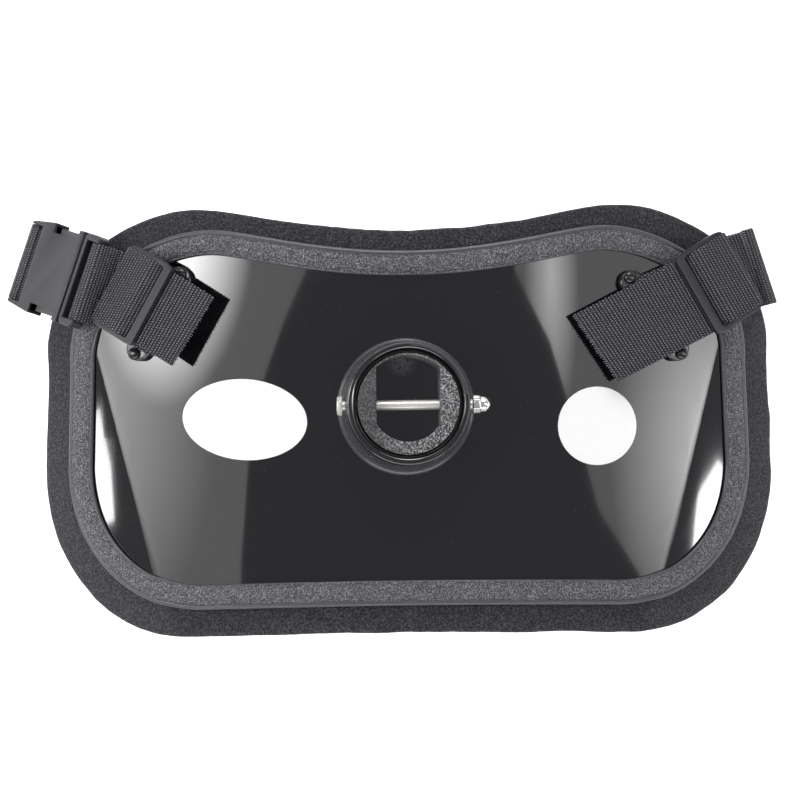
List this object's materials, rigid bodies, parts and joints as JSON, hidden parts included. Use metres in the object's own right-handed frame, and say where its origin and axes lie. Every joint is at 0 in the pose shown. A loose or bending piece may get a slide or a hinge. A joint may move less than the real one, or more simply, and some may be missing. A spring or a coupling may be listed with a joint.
{
  "type": "fishing fighting belt",
  "caption": "Waist belt with a curved gloss plate on a foam pad, a rubber edge, a round rod cup with a cross pin, and a webbing strap with a side release buckle.",
  "frame": {"origin": "middle of the bounding box at the surface the belt lies on", "axes": "+X across the belt towards its right end in the picture, +Y towards the wearer's chest, +Z out of the front of the plate; the belt lies on its back"},
  "size_m": [0.5038, 0.2748, 0.1113],
  "materials": {
    "foam": "brushed closed-cell foam, matte",
    "gloss_shell": "polished black",
    "edge_rubber": "pebbled, with a smooth lip",
    "insert": "coarse textured black",
    "steel": "satin stainless",
    "loop_steel": "satin black coat",
    "screw_gloss": "gloss black",
    "moulded": "moulded satin black",
    "webbing": "ribbed woven polypropylene",
    "label": "white vinyl"
  },
  "bodies": {
    "root": {"foam_pad": "foam", "face_plate": "gloss_shell", "edge_trim": "edge_rubber", "rod_cup": "gloss_shell", "cup_insert": "insert", "gimbal_pin": "steel", "acorn_nut": "steel", "strap_loop_left": "loop_steel", "strap_loop_right": "loop_steel", "loop_screw_left_upper": "screw_gloss", "loop_screw_left_lower": "screw_gloss", "loop_screw_right_upper": "screw_gloss", "loop_screw_right_lower": "screw_gloss", "slider_left": "moulded", "slider_right": "moulded", "buckle_female": "moulded", "buckle_male": "moulded", "strap_left": "webbing", "strap_main": "webbing", "label_oval": "label", "label_round": "label"}
  },
  "joints": []
}
